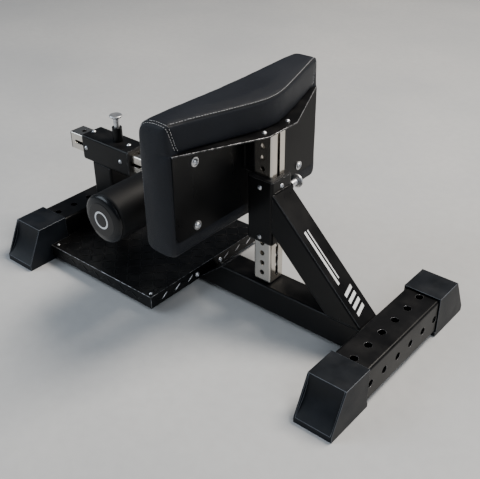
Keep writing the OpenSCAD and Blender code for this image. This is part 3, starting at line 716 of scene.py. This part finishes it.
def stuff(made, paths):
    """Fills the pad with pressure, held at its seams and where it lies on steel."""
    group = made.vertex_groups.new(name="held")
    seams = finder([p for path in paths.values() for p in dense(path, 2 * MM)])
    for vertex in made.data.vertices:
        co = vertex.co
        on_board = co.x > PLATE_LOW.x - 3 * MM and BOARD_LOW.z < co.z < PLATE_HIGH.z + 3 * MM
        if on_board or seams.find(co)[2] < HELD_BY_SEAM:
            group.add([vertex.index], 1.0, "REPLACE")
    rest = [vertex.co.copy() for vertex in made.data.vertices]
    cloth = made.modifiers.new("stuffing", "CLOTH")
    cloth.settings.use_pressure = True
    cloth.settings.uniform_pressure_force = PRESSURE
    cloth.settings.vertex_group_mass = "held"
    cloth.settings.effector_weights.gravity = 0.0
    cloth.point_cache.frame_start = 1
    cloth.point_cache.frame_end = FRAMES
    for step in range(1, FRAMES + 1):
        bpy.context.scene.frame_set(step)
    filled = made.evaluated_get(bpy.context.evaluated_depsgraph_get()).data
    ends = [vertex.co.copy() for vertex in filled.vertices]
    made.modifiers.clear()
    for vertex, start, end in zip(made.data.vertices, rest, ends):
        move = end - start
        if move.length > 0:
            vertex.co = start + move * min(1.0, SWELL / move.length)
    bpy.context.scene.frame_set(1)


def cover_board(made):
    """Keeps the skin behind the board's back and edges, so that no wood shows."""
    for vertex in made.data.vertices:
        co = vertex.co
        level = BOARD_LOW.z - 3 * MM < co.z < PLATE_HIGH.z - 2 * MM
        if level and co.x > BOARD_LOW.x - 6 * MM and abs(co.y) < BOARD_HIGH.y + 3 * MM:
            co.x = max(co.x, PLATE_LOW.x + 1.4 * MM)


def press_seams(made, paths):
    """Sinks a groove along each seam and a soft crease at the shelf's level on the ends."""
    seams = finder([p for path in paths.values() for p in dense(path, 1 * MM)])
    normals = [vertex.normal.copy() for vertex in made.data.vertices]
    for vertex, normal in zip(made.data.vertices, normals):
        co = vertex.co
        gap = seams.find(co)[2]
        sink = 1.2 * MM * math.exp(-(gap / (1.9 * MM)) ** 2)
        sink += 0.7 * MM * math.exp(-(gap / (6 * MM)) ** 2)
        at_end = smooth_step(PLATE_HIGH.y - 4 * MM, PLATE_HIGH.y + 2 * MM, abs(co.y))
        level = (co.z - PLATE_HIGH.z) / (4 * MM)
        sink += 1.4 * MM * at_end * smooth_step(45 * MM, 75 * MM, co.x) * math.exp(-level * level)
        ripple = noise.noise(co * 26) * 0.5 * MM + noise.noise(co * 75) * 0.16 * MM
        vertex.co = co - normal * (sink - ripple)


def mean_run(values, reach):
    """A running mean of vectors over reach neighbours on each side."""
    means = []
    for i in range(len(values)):
        near = values[max(0, i - reach):i + reach + 1]
        means.append(sum(near, Vector()) / len(near))
    return means


def lay_on(tree, path, reach=5):
    """The path laid on a surface and evened out, as places and unit normals."""
    found = [tree.find_nearest(p) for p in dense(path, 1.6 * MM)]
    places = mean_run([f[0] for f in found], 2)
    normals = [n.normalized() for n in mean_run([f[1] for f in found], reach)]
    return places, normals


def surface_of(made):
    """A tree that finds the nearest place on the object's mesh."""
    corners = [vertex.co.copy() for vertex in made.data.vertices]
    return BVHTree.FromPolygons(corners, [tuple(polygon.vertices) for polygon in made.data.polygons])


def add_row(thread, row, normals):
    """One row of stitches: short threads that dip into the skin at both ends."""
    pitch, length, radius = 5.8 * MM, 4.1 * MM, 0.38 * MM
    walked = 0.0
    for i in range(1, len(row)):
        walked += (row[i] - row[i - 1]).length
        if walked < pitch:
            continue
        walked -= pitch
        run = (row[i] - row[i - 1]).normalized()
        rings = []
        for t in (-1, -0.8, -0.35, 0.35, 0.8, 1):
            bow = 1 - t * t
            at = row[i] + run * (t * length / 2) + normals[i] * (0.6 * bow - 0.35) * MM
            rings.append(ring_at(at, run, normals[i], radius * (0.45 + 0.55 * math.sqrt(bow)), 6))
        sweep(thread, rings)


def add_stitches(tree, paths):
    """Pale running stitches beside each seam, and a dark line of shadow in it. The end
    seams are sewn down on both sides, the long one on its lower side."""
    thread, shadow = bmesh.new(), bmesh.new()
    for name, path in paths.items():
        places, normals = lay_on(tree, path)
        last = len(places) - 1
        runs = [
            (places[min(i + 1, last)] - places[max(i - 1, 0)]).normalized() for i in range(last + 1)
        ]
        sweep(shadow, [
            ring_at(place - normal * (0.3 * MM), run, normal, 0.8 * MM, 6)
            for place, normal, run in zip(places, normals, runs)
        ])
        beside = [run.cross(normal).normalized() * BESIDE for run, normal in zip(runs, normals)]
        for way in ((-1,) if name == "band" else (-1, 1)):
            row, row_normals = lay_on(tree, [p + way * b for p, b in zip(places, beside)], 3)
            add_row(thread, row, row_normals)
    piece_from("pad_stitches", thread, "pad_carriage", "pad_vinyl", THREAD)
    piece_from("pad_seam_lines", shadow, "pad_carriage", "pad_vinyl", SEAM_DARK)


def add_pad():
    """The cushion: a swept skin, stuffed, smoothed, pressed in at its seams and stitched."""
    made = piece_from("pad_upholstery", pad_base(), "pad_carriage", "pad_vinyl")
    remesh = made.modifiers.new("voxels", "REMESH")
    remesh.mode = "VOXEL"
    remesh.voxel_size = 4.2 * MM
    bake_modifiers(made)
    paths = seam_paths()
    stuff(made, paths)
    even = made.modifiers.new("even", "SMOOTH")
    even.factor = 0.5
    even.iterations = 2
    finer = made.modifiers.new("finer", "SUBSURF")
    finer.levels = finer.render_levels = 1
    bake_modifiers(made)
    tree = surface_of(made)
    settled = {name: lay_on(tree, path)[0] for name, path in paths.items()}
    press_seams(made, settled)
    cover_board(made)
    for polygon in made.data.polygons:
        polygon.use_smooth = True
    add_stitches(surface_of(made), settled)
    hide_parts("pad_cushion")


# ---- Rollers ----

def round_size(low, high):
    """A roller piece's radius, and how far from the middle it starts and ends."""
    near, far = sorted((abs(low.y), abs(high.y)))
    return (high.x - low.x) / 2, near, far


def add_sleeve(name, side, centre, radius, inner, outer):
    """The foam sleeve, drawn in and puckered round both of its ends."""
    core, edge = 19 * MM, 7 * MM
    profile = [(core, inner + 1.5 * MM), (radius - edge - 2 * MM, inner + 0.2 * MM)]
    profile += [(r, d) for d, r in arc((inner + edge, radius - edge), edge, 180, 90, 6)]
    spans = 26
    for i in range(1, spans):
        t = i / spans
        crown = -0.5 * MM * (2 * t - 1) ** 4
        profile.append((radius + crown, inner + edge + (outer - inner - 2 * edge) * t))
    profile += [(r, d) for d, r in arc((outer - edge, radius - edge), edge, 90, 0, 6)]
    profile += [(radius - edge - 2 * MM, outer - 0.2 * MM), (core, outer - 0.6 * MM)]
    profile.append(profile[0])
    mesh = bmesh.new()
    lathe(mesh, profile, centre, (0, side, 0), 128)
    shift = 31 * side
    for vertex in mesh.verts:
        out = vertex.co - centre
        along = abs(out.y)
        out.y = 0
        if out.length < radius - 12 * MM:
            continue
        angle = math.atan2(out.z, out.x)
        tuck = math.exp(-(min(along - inner, outer - along) / (9 * MM)) ** 2)
        pucker = 0.45 * MM * tuck * (noise.noise(Vector((angle * 9, shift, 0))) - 0.2)
        soft = 0.35 * MM * noise.noise(Vector((angle * 1.6, along * 14, shift)))
        vertex.co += out.normalized() * (pucker + soft - 0.25 * MM)
    bmesh.ops.recalc_face_normals(mesh, faces=mesh.faces[:])
    foam = piece_from(name + "_sleeve", mesh, name, "roller_foam")
    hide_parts(name + "_foam")


def add_end_cap(name, side, centre, rim, near, far):
    """The glossy outer cap: a dished disc, a fine groove and a rounded shoulder."""
    disc, hole = 39 * MM, 20 * MM
    dish = [(0.0, 0.0), (disc * 0.5, 0.05 * MM), (disc - 2.2 * MM, 0.25 * MM), (disc - 0.9 * MM, 0.4 * MM)]
    groove = [(disc - 0.2 * MM, 1.0 * MM), (disc + 0.8 * MM, 1.15 * MM), (disc + 2.2 * MM, 1.2 * MM)]
    shoulder = [(rim - 7 * MM, 3.0 * MM), (rim - 4.2 * MM, 4.2 * MM), (rim - 2.2 * MM, 5.8 * MM)]
    shoulder += [(rim - 0.8 * MM, 7.8 * MM), (rim, 9.6 * MM)]
    face = [(r, far - depth) for r, depth in dish + groove + shoulder]
    face += [(rim - 0.4 * MM, near + 3.2 * MM), (rim - 2.5 * MM, near + 2.2 * MM), (rim - 6 * MM, near)]
    face += [(hole, near), (hole, far - 2.6 * MM), (hole - 1 * MM, far - 2.1 * MM), (0.0, far - 2.0 * MM)]
    mesh = bmesh.new()
    lathe(mesh, face, centre, (0, side, 0), 128)
    bmesh.ops.recalc_face_normals(mesh, faces=mesh.faces[:])
    cap = piece_from(name + "_end_cap", mesh, name, "cap_plastic")
    weighted(cap)
    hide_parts(name + "_outer_cap")


def add_cap_ring(name, side, centre, far):
    """A plain printed ring in the middle of the cap."""
    ink, ring_in, ring_out = 0.15 * MM, 16 * MM, 20 * MM
    band = [(ring_in, far - ink), (ring_in, far + ink), (ring_out, far + ink), (ring_out, far - ink)]
    mark = bmesh.new()
    lathe(mark, band, centre, (0, side, 0))
    bmesh.ops.recalc_face_normals(mark, faces=mark.faces[:])
    piece_from(name + "_cap_ring", mark, name, "cap_plastic", PRINT, smooth=False)


def add_roller(side):
    """One roller's visible pieces. side is 1 for the left one (+Y) and -1 for the right."""
    name = "left_roller" if side > 0 else "right_roller"
    low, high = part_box(name + "_foam")
    centre = Vector(((low.x + high.x) / 2, 0, (low.z + high.z) / 2))
    add_sleeve(name, side, centre, *round_size(low, high))
    low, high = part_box(name + "_outer_cap")
    rim, near, far = round_size(low, high)
    add_end_cap(name, side, centre, rim, near, far)
    add_cap_ring(name, side, centre, far)
    soften(name + "_inner_cap", 0.8 * MM)


# ---- Plain printed bars in place of the brace's lettering ----

def add_brace_print():
    """Four slanted bars and two stripes on the brace's sloping face."""
    low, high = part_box("upright_brace")
    down = Vector((1, 0, -1)).normalized()
    out = Vector((1, 0, 1)).normalized()
    top = Vector((low.x, 0, high.z)) + out * (0.12 * MM)
    mesh = bmesh.new()

    def patch(start, end, left, right, slant):
        corners = [(start + slant, left), (end + slant, left), (end, right), (start, right)]
        lower = [mesh.verts.new(top + down * s + Vector((0, y, 0)) - out * (0.3 * MM)) for s, y in corners]
        upper = [mesh.verts.new(top + down * s + Vector((0, y, 0))) for s, y in corners]
        mesh.faces.new(upper)
        mesh.faces.new(lower[::-1])
        for i in range(4):
            n = (i + 1) % 4
            mesh.faces.new((lower[i], lower[n], upper[n], upper[i]))

    for i in range(4):
        start = (236 + 15 * i) * MM
        patch(start, start + 8 * MM, -15 * MM, 15 * MM, 10 * MM)
    patch(96 * MM, 222 * MM, -15 * MM, -9 * MM, 2 * MM)
    patch(96 * MM, 212 * MM, -4 * MM, -1 * MM, 1 * MM)
    bmesh.ops.recalc_face_normals(mesh, faces=mesh.faces[:])
    piece_from("brace_print", mesh, "frame", "frame_paint", PRINT, smooth=False)


# ---- Stage ----

def add_floor():
    """A wide, pale, faintly mottled floor."""
    look = Look("floor_look")
    broad = look.noise(1.6, 5)
    fine = look.noise(40, 4)
    tone = look.mix(look.span(broad, 0.3, 0.7), (0.43, 0.44, 0.45), (0.53, 0.53, 0.525))
    look.set(
        base_color=look.mix(look.span(fine, 0.35, 0.75, 0.0, 0.3), tone, (0.4, 0.4, 0.405)),
        roughness=0.75,
        normal=look.bump(fine, 2e-4),
    )
    mesh = bmesh.new()
    bmesh.ops.create_grid(mesh, x_segments=1, y_segments=1, size=30.0)
    data = bpy.data.meshes.new("floor")
    mesh.to_mesh(data)
    mesh.free()
    data.materials.append(look.material)
    floor = bpy.data.objects.new("floor", data)
    bpy.context.scene.collection.objects.link(floor)


def add_light(name, azimuth, elevation, distance, size, watts, colour):
    """A square softbox aimed at the middle of the bench. Angles are in degrees."""
    a, e = math.radians(azimuth), math.radians(elevation)
    aim = Vector((0, 0, 0.2))
    toward = Vector((math.cos(e) * math.cos(a), math.cos(e) * math.sin(a), math.sin(e)))
    data = bpy.data.lights.new(name, "AREA")
    data.size = size
    data.energy = watts
    data.color = colour
    lamp = bpy.data.objects.new(name, data)
    lamp.location = aim + toward * distance
    lamp.rotation_euler = (-toward).to_track_quat("-Z", "Y").to_euler()
    bpy.context.scene.collection.objects.link(lamp)


def add_world():
    """A faint, even, cool sky."""
    world = bpy.data.worlds.new("studio")
    world.use_nodes = True
    background = world.node_tree.nodes["Background"]
    background.inputs["Color"].default_value = (0.78, 0.86, 1.0, 1)
    background.inputs["Strength"].default_value = 0.12
    bpy.context.scene.world = world


def add_camera():
    """The camera, turned by yaw about Z, tilted down by pitch and rolled about its axis."""
    yaw, pitch, roll = math.radians(129.39), math.radians(32.57), math.radians(-0.16)
    level = Vector((math.cos(yaw), math.sin(yaw), 0))
    forward = level * math.cos(pitch) - Vector((0, 0, 1)) * math.sin(pitch)
    data = bpy.data.cameras.new("camera")
    data.sensor_width = 36.0
    data.lens = 57.99
    data.shift_x = -0.0234
    data.shift_y = 0.0103
    data.clip_start = 0.05
    data.clip_end = 40
    camera = bpy.data.objects.new("camera", data)
    turn = forward.to_track_quat("-Z", "Y").to_matrix().to_4x4() @ Matrix.Rotation(roll, 4, "Z")
    camera.matrix_world = Matrix.Translation((0.9908, -1.1062, 1.0558)) @ turn
    bpy.context.scene.collection.objects.link(camera)
    bpy.context.scene.camera = camera


def dress_cad_nodes():
    """Gives each CAD node that still shows its slot's material."""
    for name, node in frame["nodes"].items():
        for holder in node.material_slots:
            holder.material = LOOKS[SLOT_OF[name]]


random.seed(7)
dress_cad_nodes()
finish_frame()
add_welds()
add_platform()
add_pad()
add_roller(1)
add_roller(-1)
add_brace_print()
add_floor()
add_light("warm_window", 58, 58, 4.2, 1.7, 260, (1.0, 0.93, 0.84))
add_light("cool_window", 226, 32, 3.8, 2.4, 80, (0.8, 0.9, 1.0))
add_light("front", -25, 38, 4.0, 1.4, 45, (0.88, 0.94, 1.0))
add_world()
add_camera()
